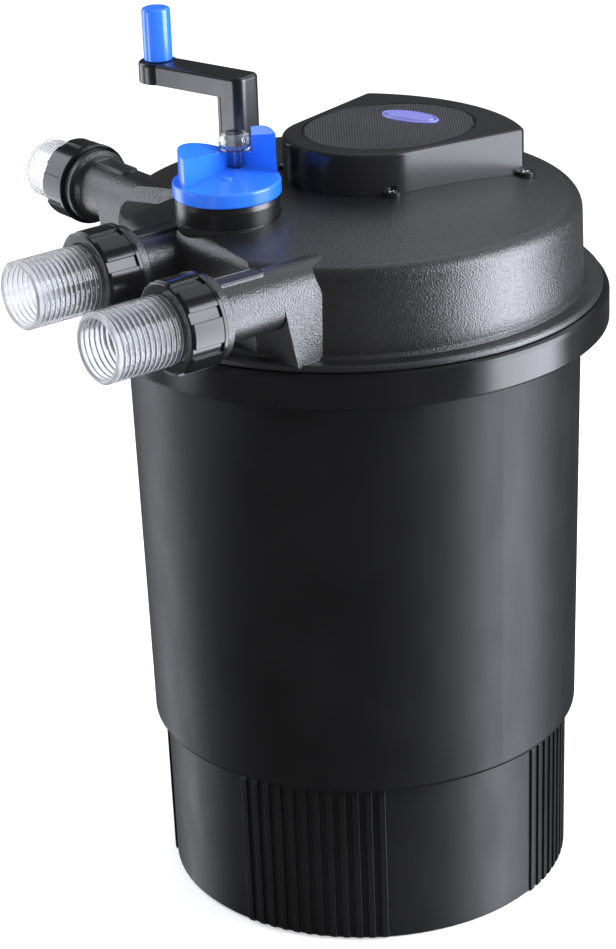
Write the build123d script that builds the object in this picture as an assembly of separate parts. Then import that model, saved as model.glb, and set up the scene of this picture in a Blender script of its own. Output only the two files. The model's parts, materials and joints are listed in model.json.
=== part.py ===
from build123d import *
from math import acos, atan2, cos, pi, radians, sin, sqrt
import os

os.makedirs("parts", exist_ok=True)

# Pond pressure filter. Millimetres, +Z up, origin at the centre of the flat underside.
# Two hose ports point towards -Y, the third points towards -X.

# Canister
BASE_R = 170.0            # outside of the ribbed base at the floor
BASE_TOP_R = 171.5        # outside of the ribbed base under the step
STEP_Z = 147.7            # height of the step where the body gets wider
STEP_R = 181.4            # body radius just above the step
WALL_R = 187.0            # body radius under the clamp band
WALL = 4.5                # wall thickness of canister and lid
FLOOR = 6.0               # thickness of the canister's floor
RIB_COUNT = 12            # ribs in each of the four groups
RIB_ARC = 40.0            # angle that one group of ribs covers
RIB_FIRST = 35.7          # direction of the first group's middle
RIB_PROUD = 1.9           # how far a rib stands out
RIB_WIDTH = 5.2

# Clamp band and flanges
BAND_R = 210.0
BAND_LOW = 491.2
BAND_TOP = 520.2
BAND_WALL = 4.0
BAND_LIP_R = 190.5        # inner edge of the band's lower lip
FLANGE_R = 204.0          # both flanges inside the band
SEAT_Z = 505.5            # top face of the canister's flange
SEAL_H = 2.7
GROOVE_R = 198.5          # neck of the lid that the band's upper lip sits round
BAND_GAP = 18.0           # opening of the split band at its bolt
BAND_SIDE = 142.0         # direction of the band's bolt
CLEAR = 0.3               # gap between neighbouring curved faces of different pieces

# Lid
LID_RIM_Z = 526.0
LID_RIM_R = 204.7
DOME_FOOT_Z = 529.0
DOME_FOOT_R = 189.2
DOME_TOP_R = 188.1
SHOULDER_Z = 597.7
SHOULDER_ROUND = 14.3
CROWN = 15.0              # rise of the dome from its shoulder to its centre
FRONT_Y = -166.0          # flat front of the dome between the two parallel ports
FRONT_ROUND = 16.0
CORNER_X = -78.0          # inner end and height of the lower corner beside the drain barrel
CORNER_Z = 594.5
CORNER_SLOPE = 8.0        # angle at which the corner falls away outwards
BARREL_R = 24.0           # radius of each port's barrel and half width of its saddle
SADDLE_LOW = 158.0        # saddle's front edge at the rim, along the inlet's axis
SADDLE_LEAN = 11.0        # how far that edge leans out at the top

# Ports: distance of the axis, and distances along it
PORT_Z = 576.0
INLET_X = 109.0           # inlet axis
OUTLET_X = -28.0          # outlet axis, which meets the valve beside its middle
DRAIN_Y = -99.0           # drain axis
VALVE_X = -3.0            # valve axis
VALVE_Y = -119.5
BARREL_BORE = 17.0
NUT_LEN = 32.0
NUT_R = 37.0
THREAD_R = 30.0
TAIL_R = 27.3
DRAIN_SCALE = 0.93        # the drain's union is a size smaller
INLET_NUT = 229.5         # rear face of each union nut along its port
OUTLET_NUT = 208.5
DRAIN_NUT = 225.0
INLET_MOUTH = 322.0       # open end of each hose tail along its port
OUTLET_MOUTH = 301.0
DRAIN_MOUTH = 293.0
PLATE_LONG = 46.0         # blank raised plate on top of each barrel, with one round end
PLATE_WIDE = 17.0
PLATE_BACK = 14.0         # distance from the nut to the plate
PLATE_PROUD = 0.4

# Valve and knob
VALVE_R = 34.0
VALVE_LOW = 541.0
VALVE_SEAT = 606.0
BONNET_R = 41.5
WINDOW_X = -23.0          # rotor's window, between the offsets of the outlet and the drain
ROTOR_GROOVES = (544.0, 550.5)
KNOB_R = 43.0
KNOB_LOW = 623.5
KNOB_TOP = 635.5
GLASS_X = -20.4           # sight glass, from the knob's middle
GLASS_Y = 24.4

# Crank and gears
MODULE = 2.0
PINION_TEETH = 15
GEAR_TEETH = 72
CRANK_TURN = 231.5        # direction of the crank's shaft from the middle
ARM_TURN = 194.0          # direction that the arm points at rest
ARM_LEN = 82.5
ARM_TOP = 700.0
ARM_DEEP = 17.0
ARM_WIDE = 28.0
BOSS_R = 16.5             # rounded end of the arm under the grip
GRIP_TOP = 743.5
GRIP_R = 11.7
SHAFT_R = 6.0
PAD_Z = 610.0             # machined pad under the crank's hub

# Light housing on top of the lid
COVER_TURN = 97.8         # direction that the housing's wide end points
COVER_C = 18.2            # centre of the round end, along that direction
COVER_R = 66.0
COVER_END = 145.0         # radius of the wide end about the lid's centre
COVER_HALF = 88.0         # half width at the wide end's corners
COVER_TOP = 643.8
COVER_SLOPE = 0.03
COVER_WALL = 3.0
GRILLE_U = 30.0           # grille's middle, from the round end's centre
GRILLE_A = 78.0           # half length and half width of the oval grille
GRILLE_B = 65.0
INSET = 1.6               # depth of the pocket for the grille and the lens
LENS_U = 62.0
LENS_V = 6.0
LENS_A = 27.0             # half length of the oval lens, across the housing
LENS_B = 14.5
LENS_TURN = 8.0

# Rotating sponge carrier
CARRIER_LOW = 60.0
CARRIER_HIGH = 488.0
CARRIER_R = 155.0
SLEEVE_R = 44.0
OUTLET_R = 40.0
SPONGE_R = 157.0
SPONGE_COUNT = 4
ROD_RING = 118.0
OUTLET_TOP = 600.0        # top of the outlet tube, in the lid's socket
DUCT_LOW = 518.0          # underside of the lid's duct from the outlet tube to the valve

CROWN_TOP = SHOULDER_Z + CROWN
SHOULDER_R = DOME_TOP_R - SHOULDER_ROUND
CROWN_RADIUS = (SHOULDER_R ** 2 + CROWN ** 2) / (2 * CROWN)
CENTRES = MODULE * (PINION_TEETH + GEAR_TEETH) / 2
CRANK_X = CENTRES * cos(radians(CRANK_TURN))
CRANK_Y = CENTRES * sin(radians(CRANK_TURN))
GRIP_X = CRANK_X + ARM_LEN * cos(radians(ARM_TURN))
GRIP_Y = CRANK_Y + ARM_LEN * sin(radians(ARM_TURN))


def crown_z(radius):
    """Height of the dome's top surface at a distance from its middle."""
    return CROWN_TOP - radius ** 2 / (2 * CROWN_RADIUS)


def turned(points):
    """Solid of revolution about Z from a closed outline of (radius, height) points."""
    outline = Polyline([(r, 0, z) for r, z in points], close=True)
    return revolve(make_face(outline), Axis.Z)


def rod(radius, low, high, x=0.0, y=0.0):
    """Upright cylinder between two heights."""
    return Pos(x, y, (low + high) / 2) * Cylinder(radius, high - low)


def tube(outer, inner, low, high, x=0.0, y=0.0):
    """Upright hollow cylinder between two heights."""
    return rod(outer, low, high, x, y) - rod(inner, low - 1, high + 1, x, y)


def block(x0, x1, y0, y1, z0, z1):
    """Box between two corners."""
    size = Box(x1 - x0, y1 - y0, z1 - z0)
    return Pos((x0 + x1) / 2, (y0 + y1) / 2, (z0 + z1) / 2) * size


def save(node, shape):
    """Write one node, as one compound if it is a group of pieces."""
    solids = shape.solids()
    piece = solids[0] if len(solids) == 1 else Compound(children=list(solids))
    export_step(piece, "parts/" + node + ".step")


def spread(shape, count, turn=360.0, first=0.0):
    """Copies of a shape round Z."""
    return [Rot(0, 0, first + i * turn / count) * shape for i in range(count)]


# ---------------------------------------------------------------- canister and clamp

def make_canister():
    inner_base = BASE_R - WALL
    body = turned([
        (0, 0), (BASE_R - 3, 0), (BASE_R, 3), (BASE_TOP_R, STEP_Z - 7),
        (BASE_TOP_R + 1, STEP_Z - 4), (STEP_R - 2, STEP_Z - 2), (STEP_R, STEP_Z + 1),
        (WALL_R, BAND_LOW), (WALL_R, BAND_LOW + BAND_WALL),
        (FLANGE_R, BAND_LOW + BAND_WALL), (FLANGE_R, SEAT_Z), (WALL_R - WALL, SEAT_Z),
        (WALL_R - WALL, BAND_LOW), (STEP_R - WALL, STEP_Z + 3), (BASE_TOP_R - WALL, STEP_Z - 8),
        (inner_base, FLOOR + 6), (inner_base - 6, FLOOR), (0, FLOOR),
    ])
    inside = BASE_R - 2
    profile = Polyline([
        (inside, 0, 2), (BASE_R + RIB_PROUD - 1, 0, 2), (BASE_R + RIB_PROUD, 0, 4),
        (BASE_TOP_R + RIB_PROUD, 0, STEP_Z - 10), (BASE_TOP_R, 0, STEP_Z - 5),
        (inside, 0, STEP_Z - 5),
    ], close=True)
    rib = extrude(make_face(profile), RIB_WIDTH / 2, dir=(0, 1, 0), both=True)
    pitch = RIB_ARC / (RIB_COUNT - 1)
    ribs = []
    for group in range(4):
        start = RIB_FIRST + 90 * group - RIB_ARC / 2
        ribs += [Rot(0, 0, start + pitch * i) * rib for i in range(RIB_COUNT)]
    return body.fuse(*ribs)


def make_clamp_band():
    low, high = BAND_LOW, BAND_TOP
    inner = BAND_R - BAND_WALL
    band = turned([
        (BAND_LIP_R, low), (BAND_R - 2, low), (BAND_R, low + 2), (BAND_R, high - 4),
        (BAND_R - 1.2, high - 1.2), (BAND_R - 4, high), (GROOVE_R + CLEAR, high),
        (GROOVE_R + CLEAR, high - BAND_WALL), (inner, high - BAND_WALL),
        (inner, low + BAND_WALL), (BAND_LIP_R, low + BAND_WALL),
    ])
    gap = block(150, 260, -BAND_GAP / 2, BAND_GAP / 2, low - 5, high + 5)
    band = band - gap
    lug_high = block(BAND_R - 3, BAND_R + 27, BAND_GAP / 2, BAND_GAP / 2 + 8, low + 4, high - 4)
    lugs = lug_high + mirror(lug_high, Plane.XZ)
    hole = band_cross(3.3, -60, 60)
    band = band + (lugs - hole)
    return Rot(0, 0, BAND_SIDE) * band


def band_cross(radius, y0, y1):
    """Cylinder along the band's bolt, between two distances from the gap's middle."""
    height = (BAND_LOW + BAND_TOP) / 2
    place = Pos(BAND_R + 16, (y0 + y1) / 2, height) * Rot(90, 0, 0)
    return place * Cylinder(radius, y1 - y0)


def make_clamp_bolt():
    edge = BAND_GAP / 2 + 8
    head = Pos(BAND_R + 16, -edge - 3, (BAND_LOW + BAND_TOP) / 2) * Rot(90, 0, 0)
    head = head * extrude(RegularPolygon(6.5, 6), 2.9, both=True)
    return Rot(0, 0, BAND_SIDE) * (head + band_cross(3.15, -edge - 2, edge + 18))


def make_wing_nut():
    edge = BAND_GAP / 2 + 8 + CLEAR
    height = (BAND_LOW + BAND_TOP) / 2
    nut = band_cross(6.5, edge, edge + 9)
    wing = Pos(BAND_R + 16, edge + 7, height) * Box(3, 10, 26)
    nut = fillet((nut + wing).edges().filter_by(Axis.X), 2) - band_cross(3.2, -60, 60)
    return Rot(0, 0, BAND_SIDE) * nut


# ---------------------------------------------------------------- ports

def port_planes():
    """Local frames of the ports: +Z along the port, +Y up."""
    return {
        "inlet": Plane(origin=(INLET_X, 0, PORT_Z), x_dir=(1, 0, 0), z_dir=(0, -1, 0)),
        "outlet": Plane(origin=(OUTLET_X, 0, PORT_Z), x_dir=(1, 0, 0), z_dir=(0, -1, 0)),
        "drain": Plane(origin=(0, DRAIN_Y, PORT_Z), x_dir=(0, -1, 0), z_dir=(-1, 0, 0)),
    }


PORT_SIZES = {
    "inlet": (INLET_NUT, INLET_MOUTH, 1.0),
    "outlet": (OUTLET_NUT, OUTLET_MOUTH, 1.0),
    "drain": (DRAIN_NUT, DRAIN_MOUTH, DRAIN_SCALE),
}


def make_barrel(name, start):
    """Outside of one port: barrel, collar, thread rings and a blank raised plate."""
    nut, mouth, k = PORT_SIZES[name]
    seat = nut + NUT_LEN * k - 11
    thread = THREAD_R * k
    points = [(0, start), (BARREL_R, start), (BARREL_R, nut - PLATE_BACK), (28.5 * k, nut - 9)]
    points += [(33 * k, nut - 8), (33 * k, nut - 1)]
    points += [(31.5 * k, nut - CLEAR), (thread - 0.8, nut - CLEAR)]
    z = nut + 2
    while z < seat - 4:
        points += [(thread - 0.8, z), (thread, z + 0.7), (thread, z + 1.5), (thread - 0.8, z + 2.2)]
        z += 3.0
    points += [(thread - 0.8, seat - 1), (thread - 1.8, seat), (0, seat)]
    barrel = turned(points)
    middle, half, deep = PLATE_LONG / 2, PLATE_WIDE / 2, 6.0
    plate = extrude(SlotOverall(PLATE_LONG, PLATE_WIDE), deep)
    plate = plate + block(0, middle, -half, half, 0, deep)
    top = BARREL_R + PLATE_PROUD
    place = Pos(0, top - deep, nut - PLATE_BACK - middle) * Rot(-90, 0, 0) * Rot(0, 0, -90)
    return barrel + place * plate


def make_union_nut(name):
    """Ribbed union nut with an inner lip at its front."""
    nut, mouth, k = PORT_SIZES[name]
    front = nut + NUT_LEN * k
    body = turned([
        (THREAD_R * k + CLEAR, nut), (NUT_R * k - 1, nut), (NUT_R * k, nut + 1),
        (NUT_R * k, nut + 4), (NUT_R * k - 2.2, nut + 4.6), (NUT_R * k - 2.2, front - 0.8),
        (NUT_R * k - 3, front), (TAIL_R * k + 0.8, front), (TAIL_R * k + 0.8, front - 4),
        (THREAD_R * k + CLEAR, front - 4),
    ])
    half = 15.5
    land = turned([
        (NUT_R * k - 4, nut + 2), (NUT_R * k - 0.4, nut + 2), (NUT_R * k - 0.4, front - 2),
        (NUT_R * k - 1.2, front - 1.2), (NUT_R * k - 4, front - 1.2),
    ])
    wedge = Pos(0, 0, nut) * extrude(sector(NUT_R * k + 2, half), NUT_LEN * k)
    for piece in spread(land & wedge, 8, first=4):
        body = body + piece
    return body


def sector(radius, half_angle):
    """Face of a pie slice about +X."""
    a = radians(half_angle)
    far = radius / cos(a)
    edge = Polyline([(0, 0), (far * cos(a), far * sin(a)), (far * cos(a), -far * sin(a))], close=True)
    return make_face(edge)


def make_hose_tail(name):
    """Clear threaded hose tail with a flange that the nut pulls on."""
    nut, mouth, k = PORT_SIZES[name]
    front = nut + NUT_LEN * k
    seat = front - 9
    bore, outer = 23.3 * k, TAIL_R * k
    low_r = outer - 0.4
    points = [(bore, seat), (THREAD_R * k, seat), (THREAD_R * k, front - 4.4), (low_r, front - 4.4)]
    z = front - 3
    while z < mouth - 6:
        points += [(low_r, z), (outer, z + 1.1), (outer, z + 1.9), (low_r, z + 3.0)]
        z += 4.6
    points += [(low_r, mouth - 5), (outer, mouth - 4), (outer, mouth - 1)]
    points += [(outer - 1, mouth), (bore + 1, mouth), (bore, mouth - 1)]
    return turned(points)


def make_tail_seal(name):
    nut, mouth, k = PORT_SIZES[name]
    front = nut + NUT_LEN * k
    return tube(29.0 * k, 22.0 * k, front - 11, front - 9)


# ---------------------------------------------------------------- lid

def dome_face(inset):
    """Half section of the dome, moved in from its outer surface by inset."""
    round_r = SHOULDER_ROUND - inset
    low = DOME_FOOT_Z if inset == 0 else SEAT_Z + SEAL_H - 9
    foot, top = DOME_FOOT_R - inset, DOME_TOP_R - inset
    shoulder, crown = SHOULDER_Z - inset, CROWN_TOP - inset
    bend = SHOULDER_R + round_r * sin(pi / 4)
    middle = SHOULDER_R / 2
    lines = Polyline([(0, 0, crown), (0, 0, low), (foot, 0, low), (top, 0, shoulder - round_r)])
    corner = ThreePointArc(
        (top, 0, shoulder - round_r), (bend, 0, shoulder - round_r * (1 - sin(pi / 4))),
        (SHOULDER_R, 0, shoulder))
    over = ThreePointArc((SHOULDER_R, 0, shoulder), (middle, 0, crown_z(middle) - inset), (0, 0, crown))
    return make_face([*lines.edges(), *corner.edges(), *over.edges()])


def shaped_dome(inset):
    """Dome with its flat front and the lower corner in front of the drain barrel."""
    dome = revolve(dome_face(inset), Axis.Z)
    round_r = FRONT_ROUND - inset
    front, turn_y = FRONT_Y + inset, FRONT_Y + FRONT_ROUND
    high = crown_z(turn_y) - inset
    turn_z = high - round_r
    bend = Pos((OUTLET_X + INLET_X) / 2, turn_y, turn_z) * Rot(0, 90, 0) * Cylinder(round_r, 400)
    ahead = block(OUTLET_X, INLET_X, -300, front, DOME_FOOT_Z - inset, turn_z)
    above = block(OUTLET_X, INLET_X, -300, turn_y, turn_z, 700)
    dome = dome - ahead - (above - bend)
    barrel_r = BARREL_R - inset
    barrel = port_planes()["drain"].location * Cylinder(barrel_r, 600)
    side = DRAIN_Y - BARREL_R * sin(pi / 4)
    slope = Pos(0, DRAIN_Y - barrel_r * sin(pi / 4), PORT_Z + barrel_r * sin(pi / 4)) * Rot(45, 0, 0)
    over = slope * block(-300, CORNER_X + inset, -80, 80, 0, 80)
    beside = block(-300, CORNER_X + inset, -300, side + inset, 500, 700)
    tilt = Pos(CORNER_X, 0, CORNER_Z - inset) * Rot(0, -CORNER_SLOPE, 0)
    low = tilt * block(-200, 40, -300, DRAIN_Y, 0, 80)
    return dome - ((low & over) + (low & beside) - barrel)


def make_lid_outside():
    """Closed outer form of the dome and its rim."""
    dome = shaped_dome(0)
    seat = SEAT_Z + SEAL_H
    rim = turned([
        (0, seat), (FLANGE_R, seat), (FLANGE_R, BAND_TOP - BAND_WALL), (GROOVE_R, BAND_TOP - BAND_WALL),
        (GROOVE_R, BAND_TOP + 0.05), (LID_RIM_R - 1, BAND_TOP + 0.05), (LID_RIM_R, BAND_TOP + 1),
        (LID_RIM_R, LID_RIM_Z - 1.5), (LID_RIM_R - 1.5, LID_RIM_Z), (DOME_FOOT_R + 3, LID_RIM_Z),
        (DOME_FOOT_R, DOME_FOOT_Z), (0, DOME_FOOT_Z),
    ])
    return dome + rim


def make_saddle(front):
    """Upright support from the lid's rim to one barrel; front is its foot's place along the port."""
    side = Polyline([
        (0, LID_RIM_Z - PORT_Z - 2, 100), (0, LID_RIM_Z - PORT_Z - 2, front), (0, 0, front + SADDLE_LEAN),
        (0, 0, 100),
    ], close=True)
    return extrude(make_face(side), BARREL_R, dir=(1, 0, 0), both=True)


def make_lid(outside):
    planes = port_planes()
    lid = outside
    starts = {"inlet": (90.0, SADDLE_LOW), "outlet": (150.0, 199.0), "drain": (100.0, 176.0)}
    for name, plane in planes.items():
        start, foot = starts[name]
        lid = lid + plane.location * make_barrel(name, start) + plane.location * make_saddle(foot)
    cavity = shaped_dome(WALL)
    mouth = rod(WALL_R - 2 * WALL - 1, SEAT_Z - 30, DOME_FOOT_Z - 4)
    lid = lid - (cavity - tube(250, WALL_R - 2 * WALL - 1, SEAT_Z - 30, LID_RIM_Z - 4)) - mouth
    spigot = tube(WALL_R - WALL - 0.5, WALL_R - 2 * WALL - 1, SEAT_Z - 6, SEAT_Z + SEAL_H + 2)
    housing = rod(VALVE_R + 6, VALVE_LOW - 6, VALVE_SEAT, VALVE_X, VALVE_Y)
    housing = housing + rod(BONNET_R, VALVE_SEAT - 25, VALVE_SEAT, VALVE_X, VALVE_Y)
    pipes = [planes["outlet"].location * rod(BARREL_BORE + 5, 105, 195),
             planes["drain"].location * rod(BARREL_BORE + 5, 20, 170)]
    duct = block(-24, 24, VALVE_Y, 0, DUCT_LOW, VALVE_LOW + 5)
    duct = duct + rod(VALVE_R + 6, DUCT_LOW, VALVE_LOW, VALVE_X, VALVE_Y)
    centre = rod(OUTLET_R + 6, DUCT_LOW, CROWN_TOP - 2)
    hub = rod(16, 570, PAD_Z, CRANK_X, CRANK_Y) + rod(21, CROWN_TOP - 10, PAD_Z, CRANK_X, CRANK_Y)
    pad = rod(31, CROWN_TOP - 8, CROWN_TOP + 1.3)
    lid = lid.fuse(spigot, housing, *pipes, duct, centre, hub, pad)
    lid = lid - rod(VALVE_R, VALVE_LOW, VALVE_SEAT + 40, VALVE_X, VALVE_Y)
    lid = lid - rod(VALVE_R - 6, DUCT_LOW + 4, VALVE_LOW + 1, VALVE_X, VALVE_Y)
    lid = lid - block(-19, 19, VALVE_Y, 0, DUCT_LOW + 4, VALVE_LOW)
    lid = lid - rod(OUTLET_R + 0.1, DUCT_LOW - 1, OUTLET_TOP)
    lid = lid - rod(BONNET_R + 0.5, VALVE_SEAT, VALVE_SEAT + 40, VALVE_X, VALVE_Y)
    lid = lid - rod(22, PAD_Z, PAD_Z + 20, CRANK_X, CRANK_Y)
    lid = lid - planes["inlet"].location * rod(20, 90, 400)
    lid = lid - planes["outlet"].location * rod(BARREL_BORE, 119, 400)
    lid = lid - planes["drain"].location * rod(BARREL_BORE, 0, 400)
    lid = lid - rod(19.3, 560, 640) - rod(10.1, 576, 640, CRANK_X, CRANK_Y)
    lid = lid - rod(9.9, 560, 577, CRANK_X, CRANK_Y)
    for x, y, z in screw_spots():
        lid = lid - rod(2.05, z - 14, z + 5, x, y)
    return lid


def make_lid_seal():
    return tube(200, 192, SEAT_Z, SEAT_Z + SEAL_H)


# ---------------------------------------------------------------- light housing

def cover_point(u, v):
    """Plan position from distances along and across the housing's axis."""
    a = radians(COVER_TURN)
    return u * cos(a) - v * sin(a), u * sin(a) + v * cos(a)


def cover_outline(inset):
    """Outline of the housing: round end, two straight sides and an arc at the wide end."""
    r, end = COVER_R - inset, COVER_END - inset
    half = COVER_HALF - inset * 1.02
    tip = sqrt(end ** 2 - half ** 2)
    reach = sqrt((tip - COVER_C) ** 2 + half ** 2)
    spread_angle = atan2(half, tip - COVER_C)
    touch = spread_angle + acos(r / reach)
    tx, ty = COVER_C + r * cos(touch), r * sin(touch)
    arc_end = ThreePointArc((tip, half), (end, 0), (tip, -half))
    side_low = Line((tip, -half), (tx, -ty))
    arc_round = ThreePointArc((tx, -ty), (COVER_C - r, 0), (tx, ty))
    side_high = Line((tx, ty), (tip, half))
    face = make_face([arc_end.edge(), side_low.edge(), arc_round.edge(), side_high.edge()])
    corners = face.vertices().sort_by(Axis.X)[-2:]
    return fillet(corners, 7.0 - inset)


def cover_plane(drop):
    """Sloping plane of the housing's top, lowered by drop; +X towards the wide end."""
    slope = atan2(COVER_SLOPE, 1)
    a = radians(COVER_TURN)
    x, y = cover_point(COVER_C, 0)
    along = (cos(a) * cos(slope), sin(a) * cos(slope), -sin(slope))
    normal = (cos(a) * sin(slope), sin(a) * sin(slope), cos(slope))
    return Plane(origin=(x, y, COVER_TOP - drop), x_dir=along, z_dir=normal)


def under_cover_top(shape):
    """The part of a shape that lies below the inner face of the housing's top."""
    return shape - cover_plane(COVER_WALL).location * Pos(0, 0, 60) * Box(500, 500, 120)


def screw_spots():
    """Housing screws: plan position and the height of the seat under the head."""
    spots = []
    for u, v in ((-13, 60), (-13, -60), (113, 91), (113, -91)):
        x, y = cover_point(u, v)
        spots.append((x, y, crown_z(sqrt(x * x + y * y)) + 1))
    return spots


def make_uv_cover(lid_outside):
    low = CROWN_TOP - 40
    body = Rot(0, 0, COVER_TURN) * Pos(0, 0, low) * extrude(cover_outline(0), 90)
    hollow = Rot(0, 0, COVER_TURN) * Pos(0, 0, low - 1) * extrude(cover_outline(COVER_WALL), 90)
    body = body - cover_plane(0).location * Pos(0, 0, 60) * Box(500, 500, 120)
    top_edges = body.faces().sort_by(Axis.Z)[-1].edges()
    body = fillet(top_edges, 2.8)
    body = body - under_cover_top(hollow)
    for x, y, z in screw_spots():
        ear = rod(7.2, z - 25, z + 2.7, x, y) - Rot(0, 0, COVER_TURN) * Pos(0, 0, low) * extrude(
            cover_outline(COVER_WALL / 2), 90)
        body = body + ear
    grille = cover_plane(INSET).location * Pos(GRILLE_U, 0, 0) * extrude(Ellipse(GRILLE_A, GRILLE_B), 5)
    body = body - grille
    body = body - cover_plane(4).location * lens_place() * extrude(Ellipse(LENS_A - 4, LENS_B - 4), 8)
    for x, y, z in screw_spots():
        body = body - rod(2.3, z - 30, z + 1, x, y) - rod(4.4, z, z + 6, x, y)
    body = body - gland_plane().location * rod(6.2, -12, 20)
    return body - lid_outside - rod(31.5, 560, CROWN_TOP + 1.8)


def make_cover_grille():
    panel = extrude(Ellipse(GRILLE_A - 0.4, GRILLE_B - 0.4), 1.3)
    hole = Pos(0, 0, -1) * extrude(Ellipse(LENS_A + 0.2, LENS_B + 0.2), 5)
    panel = Pos(GRILLE_U, 0, 0) * panel - lens_place() * hole
    return cover_plane(INSET).location * panel


def lens_place():
    return Pos(LENS_U, LENS_V, 0) * Rot(0, 0, 90 + LENS_TURN)


def make_indicator_lens():
    """Oval window with a bevelled rim and a low step inside it."""
    flange = extrude(Ellipse(LENS_A, LENS_B), 1.9)
    bevel = Pos(0, 0, 1.9) * extrude(Ellipse(LENS_A, LENS_B), 0.8, taper=45)
    window = Pos(0, 0, 1.9) * extrude(Ellipse(LENS_A - 4, LENS_B - 4), 1.4, taper=30)
    step = extrude(Ellipse(LENS_A - 2.4, LENS_B - 2.4), 2) - extrude(Ellipse(LENS_A - 4, LENS_B - 4), 2)
    step = Pos(0, 0, 1.9) * step
    return cover_plane(INSET).location * lens_place() * (flange + bevel - step + window)


def make_cover_screws():
    pieces = []
    for x, y, z in screw_spots():
        cross = Pos(x, y, z + 2) * (Box(6, 1.2, 2.4) + Box(1.2, 6, 2.4))
        head = rod(4.0, z, z + 2.6, x, y) - cross
        pieces.append(head + rod(2.0, z - 12, z + 0.5, x, y))
    return Compound(children=pieces)


def gland_plane():
    """Local frame of the cable inlet: +Z out of the housing's wide end."""
    a = radians(COVER_TURN)
    x, y = cover_point(COVER_END, -34)
    turn = atan2(y, x)
    z = crown_z(COVER_END) + 16
    return Plane(origin=(x, y, z), x_dir=(-sin(turn), cos(turn), 0), z_dir=(cos(turn), sin(turn), 0))


def make_cable_gland():
    body = turned([
        (3.5, -9), (6.0, -9), (6.0, 0.4), (10, 0.4), (10, 3.5), (8, 5), (8, 12), (6, 15), (3.5, 15),
    ])
    hexagon = Pos(0, 0, 0.4) * extrude(RegularPolygon(11, 6) - Circle(4), 5)
    return gland_plane().location * (body + hexagon)


def make_ballast():
    """Potted ballast that hangs under the housing's top."""
    box = extrude(RectangleRounded(62, 44, 4), 40)
    x, y = cover_point(86, 0)
    return under_cover_top(Pos(x, y, 622) * Rot(0, 0, COVER_TURN) * box)


def make_lamp_holder():
    return under_cover_top(rod(15, 626.5, COVER_TOP + 10) + rod(11, 624.5, 627))


def make_uv_lamp():
    base = rod(13, 604, 624.5)
    legs = [rod(5.5, 140, 606, -6.5, 0), rod(5.5, 140, 606, 6.5, 0)]
    bridge = block(-6.5, 6.5, -3, 3, 140, 147)
    return base.fuse(*legs, bridge)


def make_quartz_sleeve():
    flange = CROWN_TOP + 3.4
    return turned([
        (0, 110), (15, 110), (18.8, 114), (18.8, flange), (24, flange), (24, flange + 2.4),
        (17.3, flange + 2.4), (17.3, 115), (14, 112), (0, 112),
    ])


def make_sleeve_seal():
    return tube(24, 19.2, CROWN_TOP + 1.3, CROWN_TOP + 3.4)


def make_sleeve_nut():
    low = CROWN_TOP + 1.3
    ring = turned([
        (24.4, low), (30, low), (30, low + 5.5), (27, low + 8), (18.5, low + 8),
        (18.5, low + 4.5), (24.4, low + 4.5),
    ])
    grips = [rod(1.6, low, low + 5, 30 * cos(i * pi / 6), 30 * sin(i * pi / 6)) for i in range(12)]
    return ring - Compound(children=grips)


# ---------------------------------------------------------------- valve and knob

def make_valve_rotor():
    body = rod(VALVE_R - 0.05, VALVE_LOW + 0.4, 609.5, VALVE_X, VALVE_Y)
    body = body - rod(26, VALVE_LOW - 1, VALVE_SEAT, VALVE_X, VALVE_Y)
    body = body + rod(11.95, 609, KNOB_LOW + 6, VALVE_X, VALVE_Y)
    window = Pos(VALVE_X + WINDOW_X, VALVE_Y - 25, PORT_Z) * Rot(90, 0, 0) * Cylinder(BARREL_BORE + 1, 50)
    body = body - window - rod(2.1, 608, 640, VALVE_X, VALVE_Y)
    for low in ROTOR_GROOVES:
        body = body - tube(VALVE_R + 5, VALVE_R - 2.6, low, low + 2.8, VALVE_X, VALVE_Y)
    return body


def make_rotor_seals():
    rings = [tube(VALVE_R - 0.05, VALVE_R - 2.6, low, low + 2.8, VALVE_X, VALVE_Y) for low in ROTOR_GROOVES]
    return Compound(children=rings)


def make_valve_bonnet():
    bonnet = turned([
        (12.02, 610), (34.3, 610), (34.3, VALVE_SEAT), (BONNET_R, VALVE_SEAT), (BONNET_R, 619),
        (BONNET_R - 1, KNOB_LOW - 0.4), (12.02, KNOB_LOW - 0.4),
    ])
    return Pos(VALVE_X, VALVE_Y, 0) * bonnet


def sloping_wall(area, radius, height, x_slope, y_slope):
    """Finger wall on the dial: an area within a radius, under a sloping top plane."""
    wall = extrude(area & Circle(radius), 60)
    top = Plane(origin=(0, 0, height), z_dir=(-x_slope, -y_slope, 1))
    return Pos(0, 0, KNOB_TOP) * (wall - top.location * Pos(0, 0, 60) * Box(300, 300, 120))


def make_control_knob():
    """Dial with two raised finger walls that leave room for the sight glass."""
    dial = rod(KNOB_R, KNOB_LOW, KNOB_TOP)
    dial = fillet(dial.edges().filter_by(GeomType.CIRCLE), 1.8)
    left = make_face(Polyline([(6.5, -66), (-39, 60), (-80, 60), (-80, -66)], close=True))
    right = make_face(Polyline([(-66, 18), (54, 48), (54, 80), (-66, 80)], close=True))
    dial = dial + sloping_wall(left, 37.5, 11.7, -0.249, -0.252)
    dial = dial + sloping_wall(right, 41.2, 0.7, 0.011, 0.807)
    dial = dial - rod(12.0, KNOB_LOW - 1, KNOB_LOW + 6.2) - rod(2.3, KNOB_LOW, KNOB_TOP + 5)
    dial = dial - rod(5.0, KNOB_LOW + 8, KNOB_TOP + 5)
    dial = dial - rod(5.8, KNOB_TOP - 4, KNOB_TOP + 60, GLASS_X, GLASS_Y)
    dial = dial - rod(13.6, KNOB_TOP + 12.5, KNOB_TOP + 60, GLASS_X, GLASS_Y)
    return Pos(VALVE_X, VALVE_Y, 0) * dial


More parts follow.
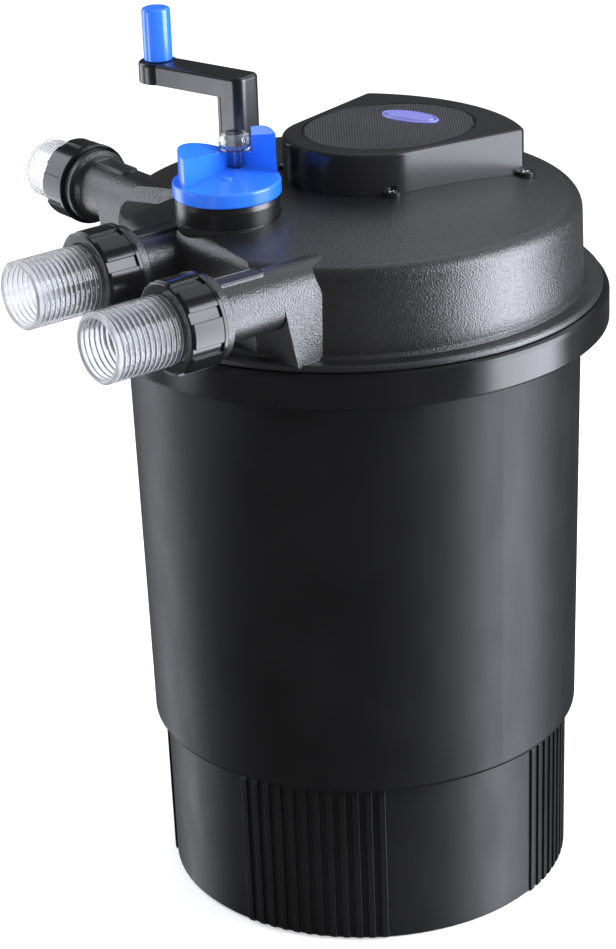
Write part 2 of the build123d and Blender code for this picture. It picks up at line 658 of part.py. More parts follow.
def make_sight_glass():
    """Hollow mushroom of clear plastic; heights are above the dial."""
    outer = [(5.5, -4), (5.5, 13), (12, 15.5), (13, 19), (13, 23), (11.5, 26.5), (8, 28.6), (0, 29.3)]
    inner = [(0, 27.8), (7.4, 27.2), (10.2, 25.5), (11.5, 22.5), (11.5, 19.5), (10.8, 17)]
    inner += [(4.2, 14), (4.2, -4)]
    place = Pos(VALVE_X + GLASS_X, VALVE_Y + GLASS_Y, KNOB_TOP)
    return place * turned(outer + inner)


def make_knob_screw():
    low = KNOB_LOW + 8
    return rod(4.4, low, low + 2.6, VALVE_X, VALVE_Y) + rod(2.0, low - 20, low + 0.5, VALVE_X, VALVE_Y)


def make_knob_cap():
    """Shallow plug over the knob's screw."""
    low = KNOB_LOW + 10.8
    cap = turned([(0, low), (4.9, low), (4.9, KNOB_TOP + 0.4), (3.6, KNOB_TOP + 1), (0, KNOB_TOP + 1.3)])
    return Pos(VALVE_X, VALVE_Y, 0) * cap


# ---------------------------------------------------------------- crank and gears

def crank_place():
    return Pos(CRANK_X, CRANK_Y, 0) * Rot(0, 0, ARM_TURN)


def make_crank_arm():
    """Square hub column and level arm in one moulding; +X of its own frame is along the arm."""
    square = RectangleRounded(ARM_WIDE - 0.5, ARM_WIDE, 8)
    column = Pos(0, 0, PAD_Z + 2.3) * extrude(square, ARM_TOP - PAD_Z - 2.3)
    plan = square + Pos(ARM_LEN / 2, 0) * Rectangle(ARM_LEN, ARM_WIDE) + Pos(ARM_LEN, 0) * Circle(BOSS_R)
    arm = Pos(0, 0, ARM_TOP - ARM_DEEP) * extrude(plan, ARM_DEEP)
    body = column + arm
    body = fillet(body.faces().sort_by(Axis.Z)[-1].edges(), 3.0)
    body = body - rod(SHAFT_R + 0.02, PAD_Z - 5, 660)
    body = body - rod(4.02, ARM_TOP - ARM_DEEP - 1, ARM_TOP + 5, ARM_LEN, 0)
    return crank_place() * body


def make_grip_pin():
    return rod(4.0, ARM_TOP - ARM_DEEP + 1, GRIP_TOP - 8, GRIP_X, GRIP_Y)


def make_crank_grip():
    low = ARM_TOP + CLEAR
    grip = turned([
        (4.06, low), (GRIP_R - 0.8, low), (GRIP_R, low + 0.8), (GRIP_R, GRIP_TOP - 2.2),
        (GRIP_R - 0.7, GRIP_TOP - 0.7), (GRIP_R - 2.2, GRIP_TOP), (0, GRIP_TOP),
        (0, GRIP_TOP - 7), (4.06, GRIP_TOP - 7),
    ])
    return Pos(GRIP_X, GRIP_Y, 0) * grip


def make_crank_shaft():
    return rod(SHAFT_R, 496, 659.5, CRANK_X, CRANK_Y)


def make_crank_bush():
    bush = tube(10, SHAFT_R + 0.04, 577, PAD_Z) + tube(14, SHAFT_R + 0.04, PAD_Z, PAD_Z + 2)
    return Pos(CRANK_X, CRANK_Y, 0) * bush


def make_shaft_seal():
    return tube(9.8, SHAFT_R + 0.1, 571, 576.5, CRANK_X, CRANK_Y)


def gear_face(teeth, phase):
    """Straight-sided gear outline; phase turns it in tooth pitches."""
    r = MODULE * teeth / 2
    tip, root = r + 0.9 * MODULE, r - 1.2 * MODULE
    step = 2 * pi / teeth
    points = []
    for i in range(teeth):
        middle = step * (i + phase)
        for radius, offset in ((root, -0.36), (tip, -0.13), (tip, 0.13), (root, 0.36)):
            angle = middle + offset * step
            points.append((radius * cos(angle), radius * sin(angle)))
    return make_face(Polyline(points, close=True))


def make_carrier_gear():
    toward = radians(CRANK_TURN) / (2 * pi / GEAR_TEETH)
    gear = Pos(0, 0, 500) * extrude(gear_face(GEAR_TEETH, toward), 10)
    return gear - rod(SLEEVE_R + 0.02, 490, 520)


def make_drive_pinion():
    back = radians(CRANK_TURN + 180) / (2 * pi / PINION_TEETH)
    pinion = Pos(0, 0, 498) * extrude(gear_face(PINION_TEETH, back + 0.5), 14)
    return Pos(CRANK_X, CRANK_Y, 0) * (pinion - rod(SHAFT_R + 0.02, 490, 520))


# ---------------------------------------------------------------- inside the canister

def make_base_grid():
    plate = rod(158, 36, 40) - rod(OUTLET_R - 3.5, 30, 45)
    holes = [rod(7, 30, 45, r, 0) for r in (70, 95, 120, 145)]
    cuts = []
    for hole in holes:
        cuts += spread(hole, 12)
    plate = plate - Compound(children=cuts)
    legs = spread(rod(7, FLOOR, 37, 108, 0), 6, first=30)
    socket = tube(OUTLET_R + 5, OUTLET_R + 0.1, 39, 46)
    return plate.fuse(*legs, socket)


def make_outlet_tube():
    body = tube(OUTLET_R, OUTLET_R - 3.5, 40, OUTLET_TOP)
    body = body - block(-15, 15, -60, -25, DUCT_LOW + 5, VALVE_LOW - 2)
    slot = block(20, 60, -2.5, 2.5, 0, 60)
    cuts = []
    for row in range(5):
        cuts += spread(Pos(0, 0, 80 + row * 80) * slot, 8)
    return body - Compound(children=cuts)


def make_thrust_washer():
    return tube(52, OUTLET_R + 0.1, 46, 48)


def make_carrier_frame():
    """Sleeve that turns on the outlet tube, with a plate under the sponges."""
    low = CARRIER_LOW
    sleeve = tube(SLEEVE_R, OUTLET_R + 0.06, 48.3, 512)
    collar = tube(SLEEVE_R + 8, SLEEVE_R - 1, low - 6, low)
    plate = rod(CARRIER_R, low, low + 5) - rod(SLEEVE_R - 1, low - 1, low + 6)
    cuts = []
    for r in (66, 90, 140):
        cuts += spread(rod(8, low - 1, low + 6, r, 0), 12)
    cuts += spread(rod(3.55, low - 1, low + 6, ROD_RING, 0), 4, first=45)
    slots = []
    for row in range(5):
        slots += spread(Pos(0, 0, 84 + row * 80) * block(30, 60, -3, 3, 0, 52), 6, first=15)
    return sleeve.fuse(collar, plate - Compound(children=cuts)) - Compound(children=slots)


def make_carrier_top():
    plate = tube(CARRIER_R, SLEEVE_R + 0.05, CARRIER_HIGH, CARRIER_HIGH + 5)
    cuts = []
    for r in (66, 90, 140):
        cuts += spread(rod(8, CARRIER_HIGH - 1, CARRIER_HIGH + 6, r, 0), 12)
    cuts += spread(rod(3.55, CARRIER_HIGH - 1, CARRIER_HIGH + 6, ROD_RING, 0), 4, first=45)
    return plate - Compound(children=cuts)


def make_tie_rods():
    one = rod(3.5, CARRIER_LOW - 3, CARRIER_HIGH + 8, ROD_RING, 0)
    return Compound(children=spread(one, 4, first=45))


def make_sponge(index):
    height = (CARRIER_HIGH - CARRIER_LOW - 5) / SPONGE_COUNT
    low = CARRIER_LOW + 5 + index * height
    sponge = tube(SPONGE_R, SLEEVE_R + 0.4, low, low + height)
    return sponge - Compound(children=spread(rod(4, low - 1, low + height, ROD_RING, 0), 4, first=45))


def make_scraper_comb():
    """Comb on the canister's wall that the turning sponges brush past."""
    low, high = 165.0, 465.0
    grow = (WALL_R - STEP_R) / (BAND_LOW - STEP_Z - 3)
    wall_low = STEP_R - WALL + grow * (low - STEP_Z - 3)
    wall_high = STEP_R - WALL + grow * (high - STEP_Z - 3)
    back = turned([(168, low), (wall_low, low), (wall_high, high), (168, high)])
    back = back & block(100, 200, -9, 9, low, high)
    teeth = [block(SPONGE_R + 1.5, 170, -1.5, 1.5, low + 10 + i * 20, low + 15 + i * 20) for i in range(15)]
    return Rot(0, 0, 60) * back.fuse(*teeth)


# ---------------------------------------------------------------- write every node

lid_outside = make_lid_outside()
save("canister", make_canister())
save("clamp_band", make_clamp_band())
save("clamp_bolt", make_clamp_bolt())
save("clamp_wing_nut", make_wing_nut())
save("lid", make_lid(lid_outside))
save("lid_seal", make_lid_seal())
for port, plane in port_planes().items():
    save(port + "_union_nut", plane.location * make_union_nut(port))
    save(port + "_hose_tail", plane.location * make_hose_tail(port))
    save(port + "_tail_seal", plane.location * make_tail_seal(port))
save("uv_cover", make_uv_cover(lid_outside))
save("cover_grille", make_cover_grille())
save("indicator_lens", make_indicator_lens())
save("cover_screws", make_cover_screws())
save("cable_gland", make_cable_gland())
save("lamp_ballast", make_ballast())
save("lamp_holder", make_lamp_holder())
save("uv_lamp", make_uv_lamp())
save("quartz_sleeve", make_quartz_sleeve())
save("sleeve_seal", make_sleeve_seal())
save("sleeve_nut", make_sleeve_nut())
save("valve_rotor", make_valve_rotor())
save("rotor_seals", make_rotor_seals())
save("valve_bonnet", make_valve_bonnet())
save("control_knob", make_control_knob())
save("sight_glass", make_sight_glass())
save("knob_screw", make_knob_screw())
save("knob_cap", make_knob_cap())
save("crank_arm", make_crank_arm())
save("grip_pin", make_grip_pin())
save("crank_grip", make_crank_grip())
save("crank_shaft", make_crank_shaft())
save("crank_bush", make_crank_bush())
save("shaft_seal", make_shaft_seal())
save("drive_pinion", make_drive_pinion())
save("carrier_gear", make_carrier_gear())
save("carrier_frame", make_carrier_frame())
save("carrier_top", make_carrier_top())
save("tie_rods", make_tie_rods())
for number in range(SPONGE_COUNT):
    save("sponge_" + str(number + 1), make_sponge(number))
save("scraper_comb", make_scraper_comb())
save("base_grid", make_base_grid())
save("outlet_tube", make_outlet_tube())
save("thrust_washer", make_thrust_washer())
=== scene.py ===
import json
from math import atan2, cos, pi, radians, sin, sqrt
import bmesh
import bpy
from mathutils import Matrix, Vector


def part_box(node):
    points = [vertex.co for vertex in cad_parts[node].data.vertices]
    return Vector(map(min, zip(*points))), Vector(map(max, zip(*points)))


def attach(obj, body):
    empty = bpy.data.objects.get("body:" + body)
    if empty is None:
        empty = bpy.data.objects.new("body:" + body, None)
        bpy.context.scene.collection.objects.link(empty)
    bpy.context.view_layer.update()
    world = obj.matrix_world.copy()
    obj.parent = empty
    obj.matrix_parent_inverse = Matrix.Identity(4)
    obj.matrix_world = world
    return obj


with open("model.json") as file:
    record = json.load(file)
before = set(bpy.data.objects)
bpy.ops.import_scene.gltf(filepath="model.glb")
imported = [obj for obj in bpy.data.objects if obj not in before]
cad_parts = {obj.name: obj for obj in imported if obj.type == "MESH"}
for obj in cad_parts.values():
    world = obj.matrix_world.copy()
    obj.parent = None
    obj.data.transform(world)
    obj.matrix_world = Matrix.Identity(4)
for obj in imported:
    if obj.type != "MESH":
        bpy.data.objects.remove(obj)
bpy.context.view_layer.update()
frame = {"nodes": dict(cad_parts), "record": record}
nodes = frame["nodes"]
scene = bpy.context.scene

# Looks of a pond canister filter. Metres, +Z up, origin at the centre of its underside.

PORTS = ("inlet", "outlet", "drain")

# ---------------------------------------------------------------- camera

CAMERA_TURN = radians(52.0)       # direction of the camera round the object, from -Y
CAMERA_REACH = 2.3                # distance from the object's upright axis
CAMERA_HEIGHT = 1.329
CAMERA_YAW = radians(-1.054)
CAMERA_PITCH = radians(23.023)    # how far the camera looks down
CAMERA_ROLL = radians(-2.177)
LENS_MM = 112.56
SENSOR_MM = 36.0


def make_camera():
    """The photo's camera: aimed as if it stood at -Y, then turned round the object."""
    turn = Matrix.Rotation(CAMERA_TURN, 3, "Z")
    forward = Vector((
        sin(CAMERA_YAW) * cos(CAMERA_PITCH),
        cos(CAMERA_YAW) * cos(CAMERA_PITCH),
        -sin(CAMERA_PITCH),
    ))
    level = Vector((cos(CAMERA_YAW), -sin(CAMERA_YAW), 0.0))
    upright = level.cross(forward)
    right = cos(CAMERA_ROLL) * level + sin(CAMERA_ROLL) * upright
    up = -sin(CAMERA_ROLL) * level + cos(CAMERA_ROLL) * upright
    axes = Matrix((turn @ right, turn @ up, turn @ -forward)).transposed()
    place = turn @ Vector((0.0, -CAMERA_REACH, CAMERA_HEIGHT))
    data = bpy.data.cameras.new("camera")
    data.lens = LENS_MM
    data.sensor_width = SENSOR_MM
    camera = bpy.data.objects.new("camera", data)
    camera.matrix_world = Matrix.Translation(place) @ axes.to_4x4()
    scene.collection.objects.link(camera)
    scene.camera = camera


# ---------------------------------------------------------------- light and floor

COOL = (0.88, 0.91, 1.0)          # tint of the studio lights
MIDDLE = (0.0, 0.0, 0.35)         # target on the tank
UNIONS = (0.0, 0.0, 0.6)          # target at the height of the hose unions
LIGHTS = (
    # name, azimuth, reach, height, wide, tall, radiance, target
    ("key_right", 77, 1.5, 0.4, 1.05, 3.2, 9.5, MIDDLE),
    ("fill_left", -117, 1.6, 0.4, 0.8, 3.2, 3.2, MIDDLE),
    ("strip_left", -76, 1.5, 0.32, 0.3, 0.55, 7.0, UNIONS),
    ("top", 150, 1.2, 2.2, 1.8, 1.8, 1.0, MIDDLE),
)
GROUND_IN_GLOSS = 0.07            # strength of the white ground in reflections
FLOOR_HALF = 12.0
FLOOR_GLOW = 0.35                 # lifts the floor to the white of the ground


def soft_box(name, azimuth, reach, height, wide, tall, radiance, target):
    """Area light. Its azimuth in degrees starts at the camera, anticlockwise from above."""
    data = bpy.data.lights.new(name, "AREA")
    data.shape = "RECTANGLE"
    data.size = wide
    data.size_y = tall
    data.energy = radiance * pi * wide * tall
    data.color = COOL
    light = bpy.data.objects.new(name, data)
    angle = CAMERA_TURN - pi / 2 + radians(azimuth)
    spot = Vector((reach * cos(angle), reach * sin(angle), height))
    light.location = spot
    light.rotation_mode = "QUATERNION"
    light.rotation_quaternion = (Vector(target) - spot).to_track_quat("-Z", "Y")
    scene.collection.objects.link(light)


def make_world():
    """White to the eye and through clear plastic, dim in reflections, so black stays black."""
    world = bpy.data.worlds.new("studio")
    world.use_nodes = True
    world.cycles.sampling_method = "NONE"
    tree = world.node_tree
    back = tree.nodes["Background"]
    path = tree.nodes.new("ShaderNodeLightPath")
    reflected = tree.nodes.new("ShaderNodeMath")
    reflected.operation = "SUBTRACT"
    reflected.use_clamp = True
    tree.links.new(path.outputs["Is Glossy Ray"], reflected.inputs[0])
    tree.links.new(path.outputs["Is Transmission Ray"], reflected.inputs[1])
    level = tree.nodes.new("ShaderNodeMapRange")
    level.inputs["To Min"].default_value = 1.0
    level.inputs["To Max"].default_value = GROUND_IN_GLOSS
    tree.links.new(reflected.outputs[0], level.inputs["Value"])
    tree.links.new(level.outputs[0], back.inputs["Strength"])
    back.inputs["Color"].default_value = (1.0, 1.0, 1.0, 1.0)
    scene.world = world


def make_floor():
    """White paper that neither shows in the plastic nor shades it."""
    half = FLOOR_HALF
    mesh = bpy.data.meshes.new("floor")
    corners = [(-half, -half, 0), (half, -half, 0), (half, half, 0), (-half, half, 0)]
    mesh.from_pydata(corners, [], [(0, 1, 2, 3)])
    floor = bpy.data.objects.new("floor", mesh)
    scene.collection.objects.link(floor)
    material, shader, tree = new_material("floor_paper", (0.82, 0.82, 0.83), 0.9)
    shader.inputs["Specular IOR Level"].default_value = 0.1
    shader.inputs["Emission Color"].default_value = (1.0, 1.0, 1.0, 1.0)
    shader.inputs["Emission Strength"].default_value = FLOOR_GLOW
    mottle(tree, shader, (0.80, 0.80, 0.81), (0.83, 0.83, 0.84), scale=3.0)
    mesh.materials.append(material)
    floor.visible_glossy = False
    floor.visible_shadow = False


# ---------------------------------------------------------------- material parts

EVEN = (1.0, 1.0, 1.0)            # stretch of a noise that runs no way in particular
NOISE_LOW = 0.35                  # most of a noise's values lie between these two
NOISE_HIGH = 0.65
EDGE_R = 0.0009                   # radius of the soft edges
EDGE_SAMPLES = 4
FINE = 0.00002                    # depth of orange peel and of machining marks


def new_material(name, colour, roughness):
    material = bpy.data.materials.new(name)
    material.use_nodes = True
    tree = material.node_tree
    shader = tree.nodes["Principled BSDF"]
    shader.inputs["Base Color"].default_value = (*colour, 1.0)
    shader.inputs["Roughness"].default_value = roughness
    return material, shader, tree


def noise(tree, scale, detail=3.0, stretch=EVEN):
    """Noise in the object's own metres; scale is its number of features per metre."""
    place = tree.nodes.new("ShaderNodeTexCoord")
    size = tree.nodes.new("ShaderNodeMapping")
    size.inputs["Scale"].default_value = stretch
    texture = tree.nodes.new("ShaderNodeTexNoise")
    texture.inputs["Scale"].default_value = scale
    texture.inputs["Detail"].default_value = detail
    tree.links.new(place.outputs["Object"], size.inputs["Vector"])
    tree.links.new(size.outputs["Vector"], texture.inputs["Vector"])
    return texture.outputs["Fac"]


def spread_to(tree, value, low, high, start=NOISE_LOW, end=NOISE_HIGH):
    """Maps a value from between start and end to between low and high."""
    node = tree.nodes.new("ShaderNodeMapRange")
    node.inputs["From Min"].default_value = start
    node.inputs["From Max"].default_value = end
    node.inputs["To Min"].default_value = low
    node.inputs["To Max"].default_value = high
    tree.links.new(value, node.inputs["Value"])
    return node.outputs[0]


def mottle(tree, shader, dark, light, scale):
    """Slight change of colour over the surface."""
    ramp = tree.nodes.new("ShaderNodeValToRGB")
    ramp.color_ramp.elements[0].position = NOISE_LOW
    ramp.color_ramp.elements[0].color = (*dark, 1.0)
    ramp.color_ramp.elements[1].position = NOISE_HIGH
    ramp.color_ramp.elements[1].color = (*light, 1.0)
    tree.links.new(noise(tree, scale), ramp.inputs["Fac"])
    tree.links.new(ramp.outputs["Color"], shader.inputs["Base Color"])


def vary_gloss(tree, shader, gloss, scale, stretch=EVEN):
    """Roughness that wanders between the two values of gloss."""
    rough = spread_to(tree, noise(tree, scale, 4.0, stretch), *gloss)
    tree.links.new(rough, shader.inputs["Roughness"])


def add_bump(tree, shader, height, depth, strength):
    """Bump on top of slightly rounded edges."""
    bevel = tree.nodes.new("ShaderNodeBevel")
    bevel.samples = EDGE_SAMPLES
    bevel.inputs["Radius"].default_value = EDGE_R
    bump = tree.nodes.new("ShaderNodeBump")
    tree.links.new(bevel.outputs["Normal"], bump.inputs["Normal"])
    bump.inputs["Strength"].default_value = strength
    bump.inputs["Distance"].default_value = depth
    tree.links.new(height, bump.inputs["Height"])
    tree.links.new(bump.outputs["Normal"], shader.inputs["Normal"])


# ---------------------------------------------------------------- kinds of material

def moulded(name, dark, light, gloss, specular=0.5):
    """Injection-moulded plastic: faint mottling, handling marks in the gloss, orange peel."""
    material, shader, tree = new_material(name, light, gloss[0])
    shader.inputs["Specular IOR Level"].default_value = specular
    mottle(tree, shader, dark, light, scale=9.0)
    vary_gloss(tree, shader, gloss, scale=38.0, stretch=(1.0, 1.0, 0.35))
    add_bump(tree, shader, noise(tree, scale=900.0), depth=FINE, strength=0.3)
    return material


def grained(name, dark, light, gloss):
    """Black plastic with a leather-like mould grain of about a millimetre."""
    material, shader, tree = new_material(name, light, gloss[0])
    shader.inputs["Specular IOR Level"].default_value = 1.0
    mottle(tree, shader, dark, light, scale=12.0)
    vary_gloss(tree, shader, gloss, scale=240.0)
    place = tree.nodes.new("ShaderNodeTexCoord")
    cells = tree.nodes.new("ShaderNodeTexVoronoi")
    cells.feature = "SMOOTH_F1"
    cells.inputs["Scale"].default_value = 820.0
    cells.inputs["Smoothness"].default_value = 0.6
    tree.links.new(place.outputs["Object"], cells.inputs["Vector"])
    grain = tree.nodes.new("ShaderNodeMath")
    grain.operation = "ADD"
    tree.links.new(cells.outputs["Distance"], grain.inputs[0])
    tree.links.new(noise(tree, scale=700.0), grain.inputs[1])
    add_bump(tree, shader, grain.outputs[0], depth=0.0003, strength=0.8)
    return material


def clear(name, colour, gloss, ior, through):
    """Clear plastic, whiter and less clear plastic for painted highlights, or quartz, with faint
    marks along it.
    """
    material, shader, tree = new_material(name, colour, gloss[0])
    shader.inputs["Transmission Weight"].default_value = through
    shader.inputs["IOR"].default_value = ior
    vary_gloss(tree, shader, gloss, scale=160.0, stretch=(1.0, 0.15, 1.0))
    add_bump(tree, shader, noise(tree, scale=350.0), depth=0.00004, strength=0.25)
    return material


def metal(name, colour, gloss):
    """Turned metal with fine marks."""
    drawn = (1.0, 1.0, 0.1)
    material, shader, tree = new_material(name, colour, gloss[0])
    shader.inputs["Metallic"].default_value = 1.0
    vary_gloss(tree, shader, gloss, scale=400.0, stretch=drawn)
    add_bump(tree, shader, noise(tree, 1500.0, 2.0, drawn), depth=FINE, strength=0.3)
    return material


def foam(name, dark, light):
    """Matt filter sponge with pores of a few millimetres."""
    material, shader, tree = new_material(name, light, 0.9)
    mottle(tree, shader, dark, light, scale=260.0)
    add_bump(tree, shader, noise(tree, 320.0, 2.0), depth=0.0015, strength=1.0)
    return material


def two_finish(name, dark, light, side, top):
    """Glossy upright faces and a satin top, told apart by how far a face looks up."""
    material, shader, tree = new_material(name, light, side)
    shader.inputs["Specular IOR Level"].default_value = 0.4
    mottle(tree, shader, dark, light, scale=14.0)
    facing = tree.nodes.new("ShaderNodeNewGeometry")
    split = tree.nodes.new("ShaderNodeSeparateXYZ")
    tree.links.new(facing.outputs["Normal"], split.inputs[0])
    rough = spread_to(tree, split.outputs["Z"], side, top, start=0.75, end=0.97)
    tree.links.new(rough, shader.inputs["Roughness"])
    add_bump(tree, shader, noise(tree, scale=1100.0), depth=FINE, strength=0.35)
    return material


# ---------------------------------------------------------------- finishes

BLACK = (0.0045, 0.0045, 0.005)
SOFT_BLACK = (0.007, 0.007, 0.0078)


def make_materials():
    """Every finish by its short name. Two colours are its darkest and its lightest."""
    return {
        "tank": moulded("tank_black", BLACK, SOFT_BLACK, gloss=(0.42, 0.48), specular=0.24),
        "band": moulded("band_black", BLACK, SOFT_BLACK, gloss=(0.20, 0.25)),
        "crank": moulded("crank_black", BLACK, SOFT_BLACK, gloss=(0.28, 0.34), specular=0.9),
        "gloss": moulded(
            "gloss_black", (0.006, 0.006, 0.007), (0.008, 0.008, 0.009), gloss=(0.13, 0.18)),
        "lid": grained(
            "lid_grain", (0.010, 0.010, 0.011), (0.014, 0.014, 0.015), gloss=(0.30, 0.37)),
        "cover": two_finish(
            "cover_black", (0.010, 0.010, 0.011), (0.013, 0.013, 0.014), side=0.2, top=0.45),
        # lighter grey: a painted highlight on the plate borders and on the grille studs
        "grille": moulded(
            "painted_highlight_grey", (0.035, 0.035, 0.038), (0.048, 0.048, 0.052),
            gloss=(0.32, 0.4), specular=1.0),
        "blue": moulded(
            "blue_gloss", (0.018, 0.16, 0.86), (0.024, 0.18, 0.93),
            gloss=(0.2, 0.26), specular=0.8),
        "clear": clear(
            "clear_plastic", (0.66, 0.67, 0.70), gloss=(0.07, 0.12), ior=1.45, through=0.95),
        # whiter and less clear: painted highlight on the tails' mouths and ring crests
        "tail_highlight": clear(
            "painted_highlight_clear", (0.74, 0.75, 0.78), gloss=(0.28, 0.36), ior=1.42, through=0.78),
        "glass": clear(
            "sight_glass_clear", (0.96, 0.975, 0.99), gloss=(0.04, 0.09), ior=1.45, through=1.0),
        "quartz": clear("quartz", (0.97, 0.98, 1.0), gloss=(0.02, 0.05), ior=1.46, through=1.0),
        "lens": moulded(
            "lens_violet", (0.17, 0.18, 0.52), (0.22, 0.23, 0.60),
            gloss=(0.12, 0.18), specular=0.9),
        "rubber": moulded(
            "seal_rubber", (0.010, 0.010, 0.010), (0.014, 0.014, 0.014), gloss=(0.6, 0.7)),
        "steel": metal("steel", (0.62, 0.62, 0.62), gloss=(0.22, 0.34)),
        "white": moulded(
            "white_plastic", (0.62, 0.62, 0.60), (0.68, 0.68, 0.66), gloss=(0.35, 0.42)),
        "grey": moulded(
            "grey_plastic", (0.045, 0.045, 0.047), (0.055, 0.055, 0.057), gloss=(0.38, 0.46)),
        "foam_blue": foam("foam_blue", (0.01, 0.05, 0.22), (0.03, 0.10, 0.36)),
        "foam_black": foam("foam_black", (0.008, 0.008, 0.008), (0.02, 0.02, 0.02)),
    }


SLOT_FINISH = {
    "satin_black": "tank", "grained_black": "lid", "gloss_black": "gloss", "gloss_blue": "blue",
    "clear_plastic": "clear", "lens_violet": "lens", "seal_rubber": "rubber", "steel": "steel",
    "quartz": "quartz", "white_plastic": "white", "grey_plastic": "grey",
    "foam_blue": "foam_blue", "foam_black": "foam_black",
}
NODE_FINISH = {
    "clamp_band": "band", "crank_arm": "crank", "uv_cover": "cover", "cover_grille": "tank",
    "valve_bonnet": "crank", "sight_glass": "glass",
}


def dress_cad(finishes):
    """Gives every CAD node its finish, from its record slot unless it has one of its own."""
    for entry in frame["record"]["subparts"]:
        name = entry["node"]
        finish = finishes[NODE_FINISH.get(name, SLOT_FINISH[entry["material_slot"]])]
        data = nodes[name].data
        data.materials.clear()
        data.materials.append(finish)


HIGHLIGHT_RIM = 0.0018       # depth of the painted highlight at the mouth of a hose tail
HIGHLIGHT_CREST = 0.00012    # how near the outermost radius a ring's crest counts
RINGED = 0.02            # length behind the mouth in which the outermost radius is found


def off_axis(co, middle, sides):
    """Distance from a tail's axis, which runs through its middle square to the two sides."""
    return sqrt(sum((co[axis] - middle[axis]) ** 2 for axis in sides))


def whiten_tail_highlights(finishes):
    """Whiter, less clear faces on the mouth and the ring crests of the clear hose tails: painted
    highlight.
    """
    for port in PORTS:
        data = nodes[port + "_hose_tail"].data
        data.materials.append(finishes["tail_highlight"])
        low, high = (Vector(corner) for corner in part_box(port + "_hose_tail"))
        along = 0 if port == "drain" else 1
        sides = [axis for axis in range(3) if axis != along]
        middle = (low + high) / 2
        mouth = low[along]
        outer = max(
            off_axis(vertex.co, middle, sides) for vertex in data.vertices
            if vertex.co[along] < mouth + RINGED)
        for face in data.polygons:
            radius = min(off_axis(data.vertices[i].co, middle, sides) for i in face.vertices)
            at_mouth = face.center[along] < mouth + HIGHLIGHT_RIM
            at_crest = abs(radius - outer) < HIGHLIGHT_CREST
            # mouth and crest faces take the painted highlight
            face.material_index = 1 if at_mouth or at_crest else 0


# ---------------------------------------------------------------- extra pieces

def add_piece(name, mesh, material, body):
    mesh.materials.clear()
    mesh.materials.append(material)
    piece = bpy.data.objects.new(name, mesh)
    scene.collection.objects.link(piece)
    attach(piece, body)


def shape_to_mesh(shape, name):
    mesh = bpy.data.meshes.new(name)
    shape.to_mesh(mesh)
    shape.free()
    return mesh


def ridge(points, wide, high):
    """Closed raised line along points, each (place, outward, up); trapezium in section."""
    shape = bmesh.new()
    rings = []
    section = ((-wide / 2, 0.0), (-wide / 4, high), (wide / 4, high), (wide / 2, 0.0))
    for place, outward, up in points:
        rings.append([shape.verts.new(place + outward * a + up * b) for a, b in section])
    for i, ring in enumerate(rings):
        other = rings[(i + 1) % len(rings)]
        for j in range(4):
            shape.faces.new((ring[j], ring[(j + 1) % 4], other[(j + 1) % 4], other[j]))
    bmesh.ops.recalc_face_normals(shape, faces=shape.faces)
    return shape_to_mesh(shape, "ridge")


BARREL_R = 0.0240        # radius of a port's barrel
PLATE_LONG = 0.046       # blank raised plate on top of each barrel
PLATE_WIDE = 0.017
PLATE_BACK = 0.014       # from the nut's rear face to the plate
PLATE_PROUD = 0.0004     # height of the plate over the barrel's top
BORDER_INSET = 0.0012    # from the plate's edge to the middle of its border
BORDER_WIDE = 0.0010
BORDER_HIGH = 0.0007
ROUND_STEPS = 20


def plate_outline(rear, along, across, up):
    """Border of a plate with one round end, as points for a ridge.

    It starts behind the nut's rear face and runs along, away from the nut.
    """
    half = PLATE_WIDE / 2 - BORDER_INSET
    near = rear + along * (PLATE_BACK + BORDER_INSET)
    far = rear + along * (PLATE_BACK + PLATE_LONG - PLATE_WIDE / 2)
    diagonal = sqrt(0.5)
    points = [
        (near - across * half, (-along - across) * diagonal, up),
        (near + across * half, (-along + across) * diagonal, up),
    ]
    for i in range(ROUND_STEPS + 1):
        angle = pi / 2 - pi * i / ROUND_STEPS
        outward = along * cos(angle) + across * sin(angle)
        points.append((far + outward * half, outward, up))
    return points


def make_plates(finishes):
    """Raised borders on the three blank plates, in lighter grey as a painted highlight along
    them.
    """
    up = Vector((0, 0, 1))
    for port in PORTS:
        low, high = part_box(port + "_union_nut")
        middle = (Vector(low) + Vector(high)) / 2
        top = middle.z + BARREL_R + PLATE_PROUD
        if port == "drain":
            along, across = Vector((1, 0, 0)), Vector((0, 1, 0))
            rear = Vector((high[0], middle.y, top))
        else:
            along, across = Vector((0, 1, 0)), Vector((-1, 0, 0))
            rear = Vector((middle.x, high[1], top))
        mesh = ridge(plate_outline(rear, along, across, up), BORDER_WIDE, BORDER_HIGH)
        # borders in lighter grey: painted highlight along the plate edges
        add_piece(port + "_plate_border", mesh, finishes["grille"], "housing")


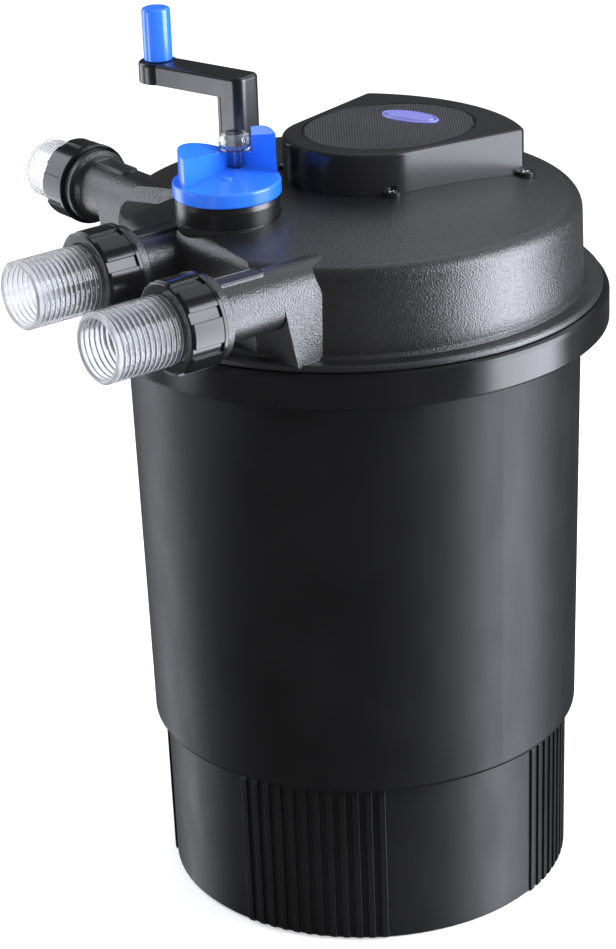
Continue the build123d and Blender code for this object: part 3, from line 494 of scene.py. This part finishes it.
COVER_TURN = radians(97.8)        # direction that the light housing's wide end points
COVER_SLOPE = 0.03                # fall of its top that way, for each unit of run
STUDDED_U = 0.0770                # half axes of the oval with studs, along and across
STUDDED_V = 0.0640
STUDDED_LIMIT = 0.96              # limit of (a / U)^2 + (b / V)^2 at a stud's centre
LENS_U = 0.0155                   # half axes of the oval kept free for the lens
LENS_V = 0.0275
LENS_LIMIT = 1.12                 # the same sum that a stud's centre has to reach there
STUD_PITCH = 0.0030
STUD_HIGH = 0.0006
STUD_FOOT = 0.46                  # reach of a stud's foot and of its tip, over the pitch
STUD_TIP = 0.22
GRID_REACH = 0.08                 # half width of the grid that studs are picked from


def make_grille_studs(finishes):
    """Small raised diamonds in diagonal rows over the oval panel, clear of the lens, in lighter
    grey as a painted highlight on them.
    """
    low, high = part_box("cover_grille")
    lens_low, lens_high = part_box("indicator_lens")
    middle = (Vector(low) + Vector(high)) / 2
    lens = (Vector(lens_low) + Vector(lens_high)) / 2
    slope = atan2(COVER_SLOPE, 1)
    u = Vector((cos(COVER_TURN) * cos(slope), sin(COVER_TURN) * cos(slope), -sin(slope)))
    v = Vector((-sin(COVER_TURN), cos(COVER_TURN), 0.0))
    up = u.cross(v)
    corners = (vertex.co for vertex in nodes["cover_grille"].data.vertices)
    top = max(corners, key=lambda co: up.dot(co))
    middle = middle + up * (up.dot(top) - up.dot(middle))
    shape = bmesh.new()
    step = STUD_PITCH * 0.5       # studs stand on every other point of this grid
    count = int(GRID_REACH / step)
    for i in range(-count, count + 1):
        for j in range(-count, count + 1):
            if (i + j) % 2:
                continue
            a, b = i * step, j * step
            if (a / STUDDED_U) ** 2 + (b / STUDDED_V) ** 2 > STUDDED_LIMIT:
                continue
            centre = middle + u * a + v * b
            away = centre - lens
            if (away.dot(u) / LENS_U) ** 2 + (away.dot(v) / LENS_V) ** 2 < LENS_LIMIT:
                continue
            foot = [centre + w * (STUD_PITCH * STUD_FOOT) for w in (u, v, -u, -v)]
            tip = [centre + w * (STUD_PITCH * STUD_TIP) + up * STUD_HIGH for w in (u, v, -u, -v)]
            lower = [shape.verts.new(p) for p in foot]
            upper = [shape.verts.new(p) for p in tip]
            shape.faces.new(upper)
            for k in range(4):
                shape.faces.new((lower[k], lower[(k + 1) % 4], upper[(k + 1) % 4], upper[k]))
    mesh = shape_to_mesh(shape, "studs")
    # studs in lighter grey: painted highlight on them
    add_piece("grille_studs", mesh, finishes["grille"], "housing")


# ---------------------------------------------------------------- build

finishes = make_materials()
dress_cad(finishes)
whiten_tail_highlights(finishes)
make_plates(finishes)
make_grille_studs(finishes)
make_camera()
for light in LIGHTS:
    soft_box(*light)
make_world()
make_floor()
scene.view_settings.view_transform = "Standard"
